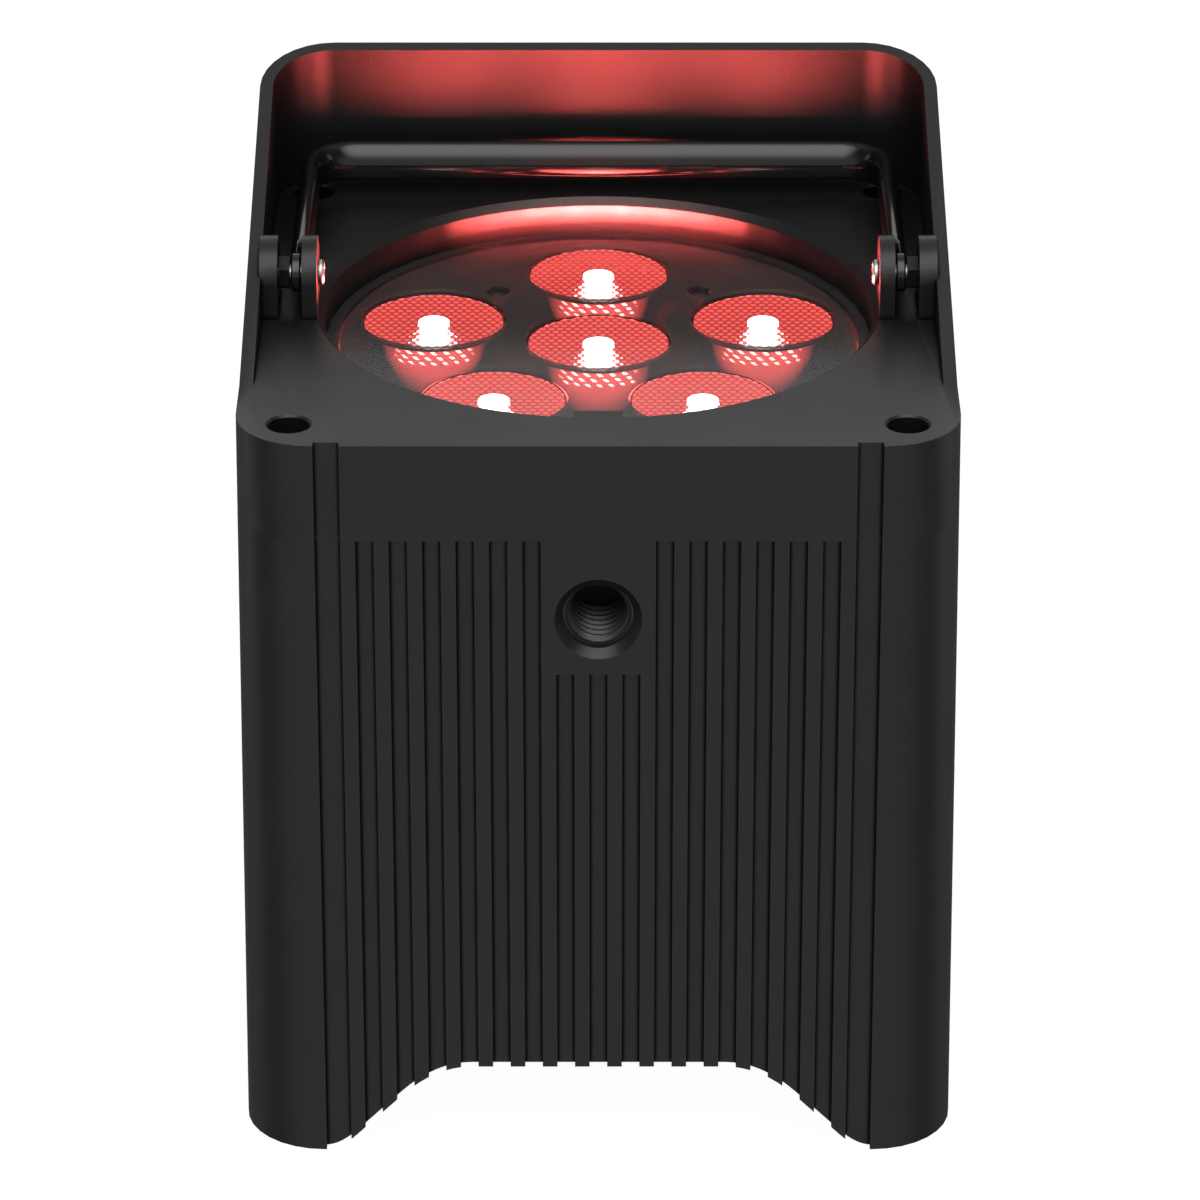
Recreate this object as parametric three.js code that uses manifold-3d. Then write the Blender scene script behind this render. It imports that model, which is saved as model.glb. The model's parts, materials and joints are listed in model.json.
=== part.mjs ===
// Compact battery-powered par can light: a square cast case that stands on four feet and shines upwards,
// with six lenses under a clear window, a sloped glare shield round three sides and a folding bail handle.
// Millimetres, +Z up, front towards -Y. The origin is at floor level under the middle of the case.
import * as THREE from 'three';
import { mergeVertices } from 'three/addons/utils/BufferGeometryUtils.js';
import Module from 'manifold-3d';

const wasm = await Module();
wasm.setup();

// ---- driving dimensions ----
const CASE_WIDTH = 130;
const CASE_HEIGHT = 143.6;
const CORNER_RADIUS = 14;
const DRAFT_SLOPE = 0.0077; // each side leans out by this much per millimetre of depth
const HEAD_HEIGHT = 18.6;
const GAP = 0.3; // clearance between neighbouring pieces

const RIB_PITCH = 5.97;
const GROOVE_WIDTH = 3.25;
const GROOVE_DEPTH = 1.6;
const GROOVES_EACH_SIDE = 7;
const CHANNEL_INNER = 46.1;
const CHANNEL_OUTER = 50.7;

const ARCH_HEIGHT = 17.7; // of the opening under each side, between the feet
const ARCH_HALF_WIDTH = 51;

const CAVITY_HALF = 60;
const CAVITY_CORNER_SUM = 98; // |x| + |y| along the cut corners above the bottom panel
const SKIRT_CORNER_SUM = 105; // the same below the bottom panel

const WINDOW_RADIUS = 51;
const WINDOW_DEPTH = 4.7;
const WINDOW_THICKNESS = 2;
const RIM_CHAMFER = 1.4;
const LEDGE_DEPTH = 8.6;
const THROAT_RADIUS = 48.6;

const MASK_DEPTH = 7.2;
const MASK_THICKNESS = 3;
const LENS_RADIUS = 13.4;
const LENS_RING_RADIUS = 32.6;
const LENS_DEPTH = 8.2;
const LENS_HEIGHT = 14;
const LED_BOARD_DEPTH = 24;
const LED_BOARD_RADIUS = 44;
const BOARD_THICKNESS = 1.6;
const MASK_SCREW_PLACE = { x: 19.1, y: 22.9 };

const WELL_PLACE = 55.3;
const WELL_RADIUS = 3.8;
const WELL_CHAMFER = 0.4;
const WELL_DEPTH = 15.2;

const SHIELD_THICKNESS = 2.5;
const SHIELD_FRONT = -38.5;
const SHIELD_SLOPE = 0.262;

const PIVOT_Y = -0.85;
const PIVOT_RISE = 6.5;
const LUG_RADIUS = 6.9;
const INNER_LUG = { from: 52.1, to: 54.9 };
const OUTER_LUG = { from: 59.4, to: 62.7 };
const NUT_FLATS = 5.6;
const PIVOT_BOLT_RADIUS = 1.5;

const BAIL_STRAP = 4; // across the legs
const BAIL_WIDTH = 7.4; // the strap's broad side
const BAIL_LEG_X = 55.5;
const BAIL_BAR_Y = 55.5;
const BAIL_BEND = 9;
const BAIL_LEG_START = 7.4; // how far from the pivot the full strap begins
const BAIL_ROUNDING = 1.85; // the strap's long edges are nearly half round
const BAIL_EYE = { from: INNER_LUG.to + GAP, to: 57 };

const PAD_HALF_WIDTH = 7.7;
const PAD_BOTTOM_DEPTH = 45;
const MOUNT_HOLE_DEPTH = 34; // below the top surface
const COUNTERSINK_RADIUS = 7.9;
const THREAD_MAJOR = 6;
const THREAD_MINOR = 5.1;
const THREAD_PITCH = 2;
const THREAD_TURNS = 7;

const PANEL_BOTTOM = 20;
const PANEL_THICKNESS = 3;
const PANEL_SCREW_PLACE = 50.75;
const BUTTON_PLACES = [-24, -8, 8, 24];
const BUTTON_RADIUS = 3.6;
const DISPLAY_Y = 22;
const ROCKER_PLACE = { x: -26, y: -26 };
const ROCKER_PIVOT_Z = 24;
const ROCKER_TILT = THREE.MathUtils.degToRad(7);
const INLET_PLACE = { x: 28, y: -26 };

const TOP = CASE_HEIGHT;
const SEAM = TOP - HEAD_HEIGHT;
const HALF = CASE_WIDTH / 2;
const PIVOT_Z = TOP + PIVOT_RISE;
const PANEL_TOP = PANEL_BOTTOM + PANEL_THICKNESS;

// ---- materials ----
const paint = (color, roughness, metalness = 0) =>
  new THREE.MeshStandardMaterial({ color, roughness, metalness });
const BLACK_CASTING = () => paint(0x2d2d2d, 0.55);
const BLACK_STEEL = () => paint(0x141414, 0.3, 0.4);
const BRIGHT_STEEL = () => paint(0xb8b8b8, 0.25, 1);
const BLACK_PLASTIC = () => paint(0x101010, 0.4);
const CIRCUIT = () => paint(0x12452c, 0.6);
const RUBBER = () => paint(0x0c0c0c, 0.8);
const ALUMINIUM = () => paint(0xa8aaad, 0.4, 1);

const fixture = new THREE.Group();

// ---- solids ----
function solid(geometry) {
  const bare = geometry.clone();
  bare.deleteAttribute('normal');
  bare.deleteAttribute('uv');
  const merged = mergeVertices(bare, 1e-4);
  const corners = merged.index.array;
  const kept = [];
  for (let i = 0; i < corners.length; i += 3) {
    const [a, b, c] = [corners[i], corners[i + 1], corners[i + 2]];
    if (a !== b && b !== c && c !== a) {
      kept.push(a, b, c);
    }
  }
  const vertProperties = new Float32Array(merged.attributes.position.array);
  return new wasm.Manifold(new wasm.Mesh({ numProp: 3, vertProperties, triVerts: new Uint32Array(kept) }));
}

function geometryOf(manifold) {
  const mesh = manifold.getMesh();
  const geometry = new THREE.BufferGeometry();
  geometry.setAttribute('position', new THREE.BufferAttribute(new Float32Array(mesh.vertProperties), 3));
  geometry.setIndex(new THREE.BufferAttribute(new Uint32Array(mesh.triVerts), 1));
  return geometry;
}

function place(name, shape, material) {
  const geometry = shape.isBufferGeometry ? shape : geometryOf(shape);
  const mesh = new THREE.Mesh(geometry, material);
  mesh.name = name;
  fixture.add(mesh);
  return mesh;
}

const joined = (first, ...rest) => rest.reduce((sum, next) => sum.add(next), first);
const cut = (first, ...rest) => rest.reduce((left, next) => left.subtract(next), first);

function block(x0, x1, y0, y1, z0, z1) {
  const geometry = new THREE.BoxGeometry(x1 - x0, y1 - y0, z1 - z0);
  geometry.translate((x0 + x1) / 2, (y0 + y1) / 2, (z0 + z1) / 2);
  return solid(geometry);
}

// A solid of revolution about a vertical axis at (x, y). The profile is [radius, height] pairs, going
// outwards along the bottom and back inwards along the top.
function turned(profile, segments, x = 0, y = 0) {
  const geometry = new THREE.LatheGeometry(profile.map(([r, z]) => new THREE.Vector2(r, z)), segments);
  geometry.rotateX(Math.PI / 2);
  geometry.translate(x, y, 0);
  return solid(geometry);
}

const rod = (radius, z0, z1, segments, x = 0, y = 0) =>
  turned([[0, z0], [radius, z0], [radius, z1], [0, z1]], segments, x, y);

const tube = (inner, outer, z0, z1, segments) =>
  turned([[inner, z0], [outer, z0], [outer, z1], [inner, z1], [inner, z0]], segments);

function extruded(shape, z0, z1, curveSegments = 12) {
  const geometry = new THREE.ExtrudeGeometry(shape, { depth: z1 - z0, bevelEnabled: false, curveSegments });
  geometry.translate(0, 0, z0);
  return solid(geometry);
}

// Turns a shape drawn in (y, z) into a solid that runs from x0 to x1.
function extrudedAlongX(shape, x0, x1, curveSegments = 12) {
  return extruded(shape, x0, x1, curveSegments).rotate([90, 0, 90]);
}

// The same along Y, for a shape drawn in (x, z).
function extrudedAlongY(shape, y0, y1, curveSegments = 12) {
  return extruded(shape, -y1, -y0, curveSegments).rotate([90, 0, 0]);
}

function polygon(points) {
  return new THREE.Shape(points.map(([x, y]) => new THREE.Vector2(x, y)));
}

function hexagon(acrossFlats, hole) {
  const reach = acrossFlats / Math.sqrt(3);
  const corner = (i) => [reach * Math.cos((i * Math.PI) / 3), reach * Math.sin((i * Math.PI) / 3)];
  const shape = polygon([0, 1, 2, 3, 4, 5].map(corner));
  const bore = new THREE.Path();
  bore.absarc(0, 0, hole, 0, 2 * Math.PI, true);
  shape.holes.push(bore);
  return shape;
}

// Cross recess for a driver, cut into the face at height z, running down to z - depth.
function crossRecess(size, depth, z, x = 0, y = 0) {
  const arm = size / 6;
  const long = block(x - size / 2, x + size / 2, y - arm, y + arm, z - depth, z + 1);
  const wide = block(x - arm, x + arm, y - size / 2, y + size / 2, z - depth, z + 1);
  return long.add(wide);
}

// The cast case leans out towards its feet. Points near the middle of a side stay put; those at the
// outer skin move by the full amount, in proportion to their depth below the top surface.
function withDraft(manifold) {
  const geometry = geometryOf(manifold);
  const point = geometry.attributes.position;
  const still = HALF - CORNER_RADIUS;
  const share = (v) => Math.sign(v) * THREE.MathUtils.clamp((Math.abs(v) - still) / CORNER_RADIUS, 0, 1);
  for (let i = 0; i < point.count; i += 1) {
    const lean = DRAFT_SLOPE * Math.max(0, TOP - point.getZ(i));
    const x = point.getX(i);
    const y = point.getY(i);
    point.setXY(i, x + lean * share(x), y + lean * share(y));
  }
  return geometry;
}

// ---- case outline ----
// A rounded square. The front and back carry the given notches, each [from, to] along the side; the left
// and right sides carry the second list.
function caseOutline(notches, sideNotches) {
  const points = [];
  const flat = HALF - CORNER_RADIUS;
  const steps = 8;
  for (let side = 0; side < 4; side += 1) {
    const turn = (side * Math.PI) / 2;
    const add = (x, y) => {
      const vertex = new THREE.Vector2(x, y);
      points.push(vertex.rotateAround(new THREE.Vector2(), turn));
    };
    for (const [from, to] of side % 2 === 0 ? notches : sideNotches) {
      add(from, -HALF);
      add(from, -HALF + GROOVE_DEPTH);
      add(to, -HALF + GROOVE_DEPTH);
      add(to, -HALF);
    }
    for (let i = 0; i <= steps; i += 1) {
      const angle = -Math.PI / 2 + (i / steps) * (Math.PI / 2);
      add(flat + CORNER_RADIUS * Math.cos(angle), -flat + CORNER_RADIUS * Math.sin(angle));
    }
  }
  return new THREE.Shape(points);
}

const CHANNELS = [[-CHANNEL_OUTER, -CHANNEL_INNER], [CHANNEL_INNER, CHANNEL_OUTER]];

function ribNotches() {
  const grooves = [];
  for (let k = -GROOVES_EACH_SIDE; k <= GROOVES_EACH_SIDE; k += 1) {
    grooves.push([k * RIB_PITCH - GROOVE_WIDTH / 2, k * RIB_PITCH + GROOVE_WIDTH / 2]);
  }
  return [CHANNELS[0], ...grooves, CHANNELS[1]];
}

// A square with cut corners: |x| and |y| up to half, |x| + |y| up to sum.
function cutSquare(half, sum) {
  const short = sum - half;
  const corners = [];
  for (const [sx, sy] of [[1, 1], [-1, 1], [-1, -1], [1, -1]]) {
    const ends = [[sx * half, sy * short], [sx * short, sy * half]];
    corners.push(...(sx * sy > 0 ? ends : ends.reverse()));
  }
  return polygon(corners);
}

const FOUR_CORNERS = [[1, 1], [-1, 1], [-1, -1], [1, -1]];

// ---- head: top casting with recess, screw wells, glare shield and handle lugs ----
function shieldWalls() {
  const inner = HALF - SHIELD_THICKNESS;
  const flat = HALF - CORNER_RADIUS;
  const bend = CORNER_RADIUS - SHIELD_THICKNESS;
  const room = new THREE.Shape();
  room.moveTo(-inner, -HALF - 5);
  room.lineTo(inner, -HALF - 5);
  room.lineTo(inner, flat);
  room.absarc(flat, flat, bend, 0, Math.PI / 2);
  room.lineTo(-flat, inner);
  room.absarc(-flat, flat, bend, Math.PI / 2, Math.PI);
  const rise = SHIELD_SLOPE * (HALF + 1 - SHIELD_FRONT);
  const slope = polygon([
    [SHIELD_FRONT, TOP - 1],
    [HALF + 1, TOP - 1],
    [HALF + 1, TOP + rise],
    [SHIELD_FRONT, TOP],
  ]);
  const outside = extruded(caseOutline([], []), TOP - 1, TOP + rise);
  const inside = extruded(room, TOP - 2, TOP + rise + 1, 8);
  return outside.subtract(inside).intersect(extrudedAlongX(slope, -HALF - 1, HALF + 1));
}

function handleLug({ from, to }, side) {
  const shape = new THREE.Shape();
  shape.moveTo(PIVOT_Y - LUG_RADIUS, TOP - 1);
  shape.lineTo(PIVOT_Y + LUG_RADIUS, TOP - 1);
  shape.lineTo(PIVOT_Y + LUG_RADIUS, PIVOT_Z);
  shape.absarc(PIVOT_Y, PIVOT_Z, LUG_RADIUS, 0, Math.PI);
  return extrudedAlongX(shape, Math.min(side * from, side * to), Math.max(side * from, side * to), 10);
}

function pivotHole(side) {
  const reach = 61.3;
  const circle = new THREE.Shape();
  circle.absarc(PIVOT_Y, PIVOT_Z, PIVOT_BOLT_RADIUS + GAP, 0, 2 * Math.PI);
  return extrudedAlongX(circle, Math.min(0, side * reach), Math.max(0, side * reach), 8);
}

function headHousing() {
  const rimSegments = 72;
  const recess = turned([
    [0, TOP - LEDGE_DEPTH],
    [WINDOW_RADIUS + GAP, TOP - LEDGE_DEPTH],
    [WINDOW_RADIUS + GAP, TOP - RIM_CHAMFER],
    [WINDOW_RADIUS + GAP + RIM_CHAMFER, TOP],
    [WINDOW_RADIUS + GAP + RIM_CHAMFER, TOP + 1],
    [0, TOP + 1],
  ], rimSegments);
  const throat = rod(THROAT_RADIUS, SEAM - 1, TOP, 40);
  let head = cut(extruded(caseOutline(CHANNELS, []), SEAM, TOP), recess, throat);
  head = head.add(shieldWalls());
  for (const [sx, sy] of FOUR_CORNERS) {
    const well = turned([
      [0, TOP - WELL_DEPTH],
      [WELL_RADIUS, TOP - WELL_DEPTH],
      [WELL_RADIUS, TOP - WELL_CHAMFER],
      [WELL_RADIUS + WELL_CHAMFER, TOP],
      [WELL_RADIUS + WELL_CHAMFER, TOP + 1],
      [0, TOP + 1],
    ], 20, sx * WELL_PLACE, sy * WELL_PLACE);
    head = cut(head, well, rod(2.3, SEAM - 1, TOP, 8, sx * WELL_PLACE, sy * WELL_PLACE));
  }
  for (const side of [-1, 1]) {
    head = joined(head, handleLug(INNER_LUG, side), handleLug(OUTER_LUG, side)).subtract(pivotHole(side));
  }
  for (const [sx, sy] of FOUR_CORNERS) {
    head = head.subtract(rod(1.3, SEAM - 1, SEAM + 7, 8, sx * SINK_POST_PLACE, sy * SINK_POST_PLACE));
  }
  const tab = block(-4.4, 4.4, -52.8, -49.5, TOP - 1.6, TOP);
  return withDraft(head.add(tab));
}

// ---- body: ribbed casting, open at the top and underneath, with an arch in each side ----
function archCutter() {
  const height = ARCH_HEIGHT;
  const outline = new THREE.Shape();
  outline.moveTo(ARCH_HALF_WIDTH, -1);
  outline.lineTo(ARCH_HALF_WIDTH, 0);
  outline.quadraticCurveTo(48.3, 0, 45, 3.2);
  outline.lineTo(36.5, 11.6);
  outline.quadraticCurveTo(30.2, height, 23.5, height);
  outline.lineTo(-23.5, height);
  outline.quadraticCurveTo(-30.2, height, -36.5, 11.6);
  outline.lineTo(-45, 3.2);
  outline.quadraticCurveTo(-48.3, 0, -ARCH_HALF_WIDTH, 0);
  outline.lineTo(-ARCH_HALF_WIDTH, -1);
  return outline;
}

const boreAlongY = (profile, segments) =>
  turned(profile, segments).rotate([90, 0, 0]).translate([0, 0, TOP - MOUNT_HOLE_DEPTH]);

function bodyShell() {
  const bossBack = 46;
  const boreBack = 48;
  let body = extruded(caseOutline(ribNotches(), ribNotches()), 0, SEAM - 0.02);
  body = cut(
    body,
    extruded(cutSquare(CAVITY_HALF, CAVITY_CORNER_SUM), PANEL_TOP - 1, SEAM + 1),
    extruded(cutSquare(CAVITY_HALF, SKIRT_CORNER_SUM), -1, PANEL_TOP + GAP),
    extrudedAlongY(archCutter(), -HALF - 5, HALF + 5, 8),
    extrudedAlongX(archCutter(), -HALF - 5, HALF + 5, 8),
  );
  const pad = block(-PAD_HALF_WIDTH, PAD_HALF_WIDTH, -HALF, -HALF + 3, TOP - PAD_BOTTOM_DEPTH, SEAM - 0.02);
  const boss = boreAlongY([[0, bossBack], [10.5, bossBack], [10.5, HALF - 3], [0, HALF - 3]], 20);
  const bore = boreAlongY([
    [0, boreBack],
    [THREAD_MAJOR + 1.4, boreBack],
    [THREAD_MAJOR + 1.4, HALF - 2],
    [COUNTERSINK_RADIUS - 1.5, HALF - 1.5],
    [COUNTERSINK_RADIUS, HALF],
    [COUNTERSINK_RADIUS, HALF + 2],
    [0, HALF + 2],
  ], 32);
  body = joined(body, pad, boss).subtract(bore);
  for (const [sx, sy] of FOUR_CORNERS) {
    body = cut(
      body,
      rod(2.3, SEAM - 20, SEAM + 1, 8, sx * WELL_PLACE, sy * WELL_PLACE),
      rod(1.5, PANEL_BOTTOM, PANEL_TOP + 12, 8, sx * PANEL_SCREW_PLACE, sy * PANEL_SCREW_PLACE),
    );
  }
  return withDraft(body);
}

function threadBush() {
  const front = HALF - 2.3;
  const back = HALF - 2.3 - THREAD_PITCH * THREAD_TURNS;
  const outer = THREAD_MAJOR + 1.1;
  const profile = [[outer, back], [outer, front], [THREAD_MAJOR, front]];
  for (let turn = 0; turn < THREAD_TURNS; turn += 1) {
    const start = front - turn * THREAD_PITCH;
    profile.push([THREAD_MINOR, start - THREAD_PITCH / 2]);
    profile.push([THREAD_MAJOR, start - THREAD_PITCH]);
  }
  profile.push([outer, back]);
  return boreAlongY(profile, 16);
}

// ---- optics ----
function lensCentres() {
  const centres = [{ name: 'centre', x: 0, y: 0 }];
  for (let i = 0; i < 5; i += 1) {
    const angle = THREE.MathUtils.degToRad(90 + 72 * i);
    const place = { x: LENS_RING_RADIUS * Math.cos(angle), y: LENS_RING_RADIUS * Math.sin(angle) };
    centres.push({ name: `ring_${i + 1}`, ...place });
  }
  return centres;
}

function lensMask() {
  const under = TOP - MASK_DEPTH - MASK_THICKNESS;
  let mask = rod(THROAT_RADIUS - GAP, under, TOP - MASK_DEPTH, 40);
  for (const { x, y } of lensCentres()) {
    mask = mask.subtract(rod(LENS_RADIUS + GAP, under - 1, TOP, 26, x, y));
  }
  for (const side of [-1, 1]) {
    const { x, y } = MASK_SCREW_PLACE;
    mask = mask.add(rod(3, TOP - LED_BOARD_DEPTH + GAP, under + 1, 10, side * x, y));
    mask = cut(
      mask,
      rod(1.5, TOP - LED_BOARD_DEPTH, TOP, 8, side * x, y),
      rod(2.3, TOP - MASK_DEPTH - 1, TOP, 12, side * x, y),
    );
  }
  return mask;
}

function lens(x, y) {
  const face = TOP - LENS_DEPTH;
  const foot = face - LENS_HEIGHT;
  return turned([
    [0, foot + 3],
    [3.6, foot + 3],
    [4.2, foot],
    [5.6, foot],
    [11.2, face - 3],
    [11.8, face - 1.8],
    [LENS_RADIUS, face - 1.8],
    [LENS_RADIUS, face - 0.3],
    [LENS_RADIUS - 0.3, face],
    [0, face],
  ], 20, x, y);
}

function ledBoard() {
  const face = TOP - LED_BOARD_DEPTH;
  let board = rod(LED_BOARD_RADIUS, face - BOARD_THICKNESS, face, 32);
  for (const side of [-1, 1]) {
    board = board.subtract(rod(1.5, face - 5, face + 1, 8, side * MASK_SCREW_PLACE.x, MASK_SCREW_PLACE.y));
  }
  return board;
}

function led(x, y) {
  const seat = TOP - LED_BOARD_DEPTH + 0.05;
  const base = block(x - 2.5, x + 2.5, y - 2.5, y + 2.5, seat, seat + 0.9);
  const dome = turned([
    [0, seat + 0.5],
    [1.9, seat + 0.5],
    [1.9, seat + 0.9],
    [1.2, seat + 1.4],
    [0, seat + 1.6],
  ], 10, x, y);
  return base.add(dome);
}

const SINK_TOP = TOP - LED_BOARD_DEPTH - BOARD_THICKNESS - 0.05;
const SINK_PLATE = 5;
const SINK_FIN = 15;
const SINK_POST_PLACE = 37;

function heatSink() {
  const plateUnder = SINK_TOP - SINK_PLATE;
  let sink = rod(LED_BOARD_RADIUS, plateUnder, SINK_TOP, 32);
  for (const [sx, sy] of FOUR_CORNERS) {
    const turn = Math.atan2(sy, sx) * THREE.MathUtils.RAD2DEG;
    const ear = block(30, 56.5, -5, 5, plateUnder, SINK_TOP).rotate([0, 0, turn]);
    const post = rod(3.6, SINK_TOP - 1, SEAM - GAP, 10, sx * SINK_POST_PLACE, sy * SINK_POST_PLACE);
    const hole = rod(1.5, plateUnder - 1, SEAM, 8, sx * SINK_POST_PLACE, sy * SINK_POST_PLACE);
    sink = joined(sink, ear, post).subtract(hole);
  }
  for (let i = -5; i <= 5; i += 1) {
    const x = i * 7;
    const reach = Math.sqrt((LED_BOARD_RADIUS - 1) ** 2 - x ** 2) - 1;
    sink = sink.add(block(x - 1, x + 1, -reach, reach, plateUnder - SINK_FIN, plateUnder + 1));
  }
  for (const side of [-1, 1]) {
    const { x, y } = MASK_SCREW_PLACE;
    sink = sink.subtract(rod(1.5, plateUnder - 1, SINK_TOP + 1, 8, side * x, y));
  }
  return sink;
}

// A screw standing head up at (x, y), its head resting at height z.
function screwHeadUp({ head, headHeight, shank, length, x, y, z, segments = 12 }) {
  const body = turned([
    [0, z - length],
    [shank, z - length],
    [shank, z],
    [head, z],
    [head, z + headHeight * 0.7],
    [head * 0.8, z + headHeight],
    [0, z + headHeight],
  ], segments, x, y);
  return body.subtract(crossRecess(head * 1.3, headHeight * 0.5, z + headHeight, x, y));
}

function optics() {
  const glassTop = TOP - WINDOW_DEPTH;
  const glassBottom = glassTop - WINDOW_THICKNESS;
  place('window_glass', rod(WINDOW_RADIUS, glassBottom, glassTop, 48), paint(0xe8eef0, 0.05));
  const gasketBottom = TOP - LEDGE_DEPTH + 0.05;
  const gasket = tube(THROAT_RADIUS + 0.2, WINDOW_RADIUS - 0.2, gasketBottom, glassBottom - 0.05, 40);
  place('window_gasket', gasket, RUBBER());
  place('lens_mask', lensMask(), paint(0x0d0d0d, 0.35));
  for (const { name, x, y } of lensCentres()) {
    place(`lens_${name}`, lens(x, y), paint(0xff6058, 0.15));
    place(`led_${name}`, led(x, y), paint(0xf2e6c8, 0.4));
  }
  place('led_board', ledBoard(), paint(0x0c0c0c, 0.5));
  place('heat_sink', heatSink(), ALUMINIUM());
  [-1, 1].forEach((side, i) => {
    const spot = { x: side * MASK_SCREW_PLACE.x, y: MASK_SCREW_PLACE.y, z: TOP - MASK_DEPTH - 1 + 0.05 };
    const screw = screwHeadUp({ head: 2, headHeight: 1.1, shank: 1.2, length: 20, ...spot });
    place(`mask_screw_${i + 1}`, screw, BLACK_STEEL());
  });
}

// ---- screws that hold the head to the body and the heat sink to the head ----
function caseFasteners() {
  FOUR_CORNERS.forEach(([sx, sy], i) => {
    const corner = { x: sx * WELL_PLACE, y: sy * WELL_PLACE, z: TOP - WELL_DEPTH + 0.05 };
    const screw = screwHeadUp({ head: 3.4, headHeight: 2.6, shank: 2, length: 20, ...corner });
    place(`corner_screw_${i + 1}`, screw, BLACK_STEEL());
    const post = { x: sx * SINK_POST_PLACE, y: sy * SINK_POST_PLACE };
    const sinkScrew = turned([
      [0, SINK_TOP - SINK_PLATE - 2],
      [2.4, SINK_TOP - SINK_PLATE - 2],
      [2.4, SINK_TOP - SINK_PLATE - 0.05],
      [1.1, SINK_TOP - SINK_PLATE - 0.05],
      [1.1, SEAM + 6],
      [0, SEAM + 6],
    ], 8, post.x, post.y);
    place(`sink_screw_${i + 1}`, sinkScrew, BRIGHT_STEEL());
  });
}

// ---- folding bail handle ----
function bailHandle() {
  const outerX = BAIL_LEG_X + BAIL_STRAP / 2;
  const innerX = BAIL_LEG_X - BAIL_STRAP / 2;
  const outerY = BAIL_BAR_Y + BAIL_STRAP / 2;
  const innerY = BAIL_BAR_Y - BAIL_STRAP / 2;
  const outerBend = BAIL_BEND + BAIL_STRAP / 2;
  const innerBend = BAIL_BEND - BAIL_STRAP / 2;
  const start = PIVOT_Y + BAIL_LEG_START;
  const strap = new THREE.Shape();
  strap.moveTo(innerX, start);
  strap.lineTo(outerX, start);
  strap.lineTo(outerX, outerY - outerBend);
  strap.absarc(outerX - outerBend, outerY - outerBend, outerBend, 0, Math.PI / 2);
  strap.lineTo(-outerX + outerBend, outerY);
  strap.absarc(-outerX + outerBend, outerY - outerBend, outerBend, Math.PI / 2, Math.PI);
  strap.lineTo(-outerX, start);
  strap.lineTo(-innerX, start);
  strap.lineTo(-innerX, innerY - innerBend);
  strap.absarc(-innerX + innerBend, innerY - innerBend, innerBend, Math.PI, Math.PI / 2, true);
  strap.lineTo(innerX - innerBend, innerY);
  strap.absarc(innerX - innerBend, innerY - innerBend, innerBend, Math.PI / 2, 0, true);
  const geometry = new THREE.ExtrudeGeometry(strap, {
    depth: BAIL_WIDTH - 2 * BAIL_ROUNDING,
    bevelSize: BAIL_ROUNDING,
    bevelThickness: BAIL_ROUNDING,
    bevelOffset: -BAIL_ROUNDING,
    bevelSegments: 3,
    curveSegments: 6,
  });
  geometry.translate(0, 0, PIVOT_Z - BAIL_WIDTH / 2 + BAIL_ROUNDING);
  let bail = solid(geometry);
  for (const side of [-1, 1]) {
    const eye = new THREE.Shape();
    eye.absarc(PIVOT_Y, PIVOT_Z, BAIL_WIDTH / 2, Math.PI / 2, (3 * Math.PI) / 2);
    eye.lineTo(start + 4, PIVOT_Z - BAIL_WIDTH / 2 + 0.6);
    eye.lineTo(start + 4, PIVOT_Z + BAIL_WIDTH / 2 - 0.6);
    const hole = new THREE.Path();
    hole.absarc(PIVOT_Y, PIVOT_Z, PIVOT_BOLT_RADIUS + GAP, 0, 2 * Math.PI, true);
    eye.holes.push(hole);
    const ends = [side * BAIL_EYE.from, side * BAIL_EYE.to].sort((a, b) => a - b);
    bail = bail.add(extrudedAlongX(eye, ...ends, 8));
  }
  return bail;
}

// Stands a vertical turned piece on the pivot axis, its +Z end pointing outwards on the given side.
const onPivot = (manifold, side) => manifold.rotate([0, side * 90, 0]).translate([0, PIVOT_Y, PIVOT_Z]);

function pivotHardware() {
  const headFace = 50.9;
  const headSeat = INNER_LUG.from - 0.1;
  for (const [side, name] of [[-1, 'left'], [1, 'right']]) {
    const bolt = turned([
      [0, headFace],
      [2, headFace],
      [2.5, headFace + 0.4],
      [2.5, headSeat],
      [PIVOT_BOLT_RADIUS, headSeat],
      [PIVOT_BOLT_RADIUS, 61],
      [0, 61],
    ], 12);
    const recess = crossRecess(3.2, 0.6, headFace).rotate([180, 0, 0]).translate([0, 0, 2 * headFace]);
    place(`pivot_screw_${name}`, onPivot(bolt.subtract(recess), side), BRIGHT_STEEL());
    const nut = extruded(hexagon(NUT_FLATS, PIVOT_BOLT_RADIUS + GAP), 57.3, 59.3, 8);
    place(`pivot_nut_${name}`, onPivot(nut, side), BLACK_STEEL());
  }
}

// ---- power: battery, driver and their brackets ----
function batteryPack(cellsAcross, cellRadius, bottom) {
  const shape = new THREE.Shape();
  const width = cellsAcross * 2 * cellRadius;
  const low = bottom + cellRadius;
  const high = bottom + 3 * cellRadius;
  const centre = (i) => -width / 2 + cellRadius + 2 * cellRadius * i;
  for (let i = 0; i < cellsAcross; i += 1) {
    const wrapFrom = i === 0 ? Math.PI : Math.PI * 1.25;
    const wrapTo = i === cellsAcross - 1 ? Math.PI * 2 : Math.PI * 1.75;
    shape.absarc(centre(i), low, cellRadius, wrapFrom, wrapTo);
  }
  for (let i = cellsAcross - 1; i >= 0; i -= 1) {
    const wrapFrom = i === cellsAcross - 1 ? 0 : Math.PI * 0.25;
    const wrapTo = i === 0 ? Math.PI : Math.PI * 0.75;
    shape.absarc(centre(i), high, cellRadius, wrapFrom, wrapTo);
  }
  return extrudedAlongY(shape, -33, 33, 4);
}

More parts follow.
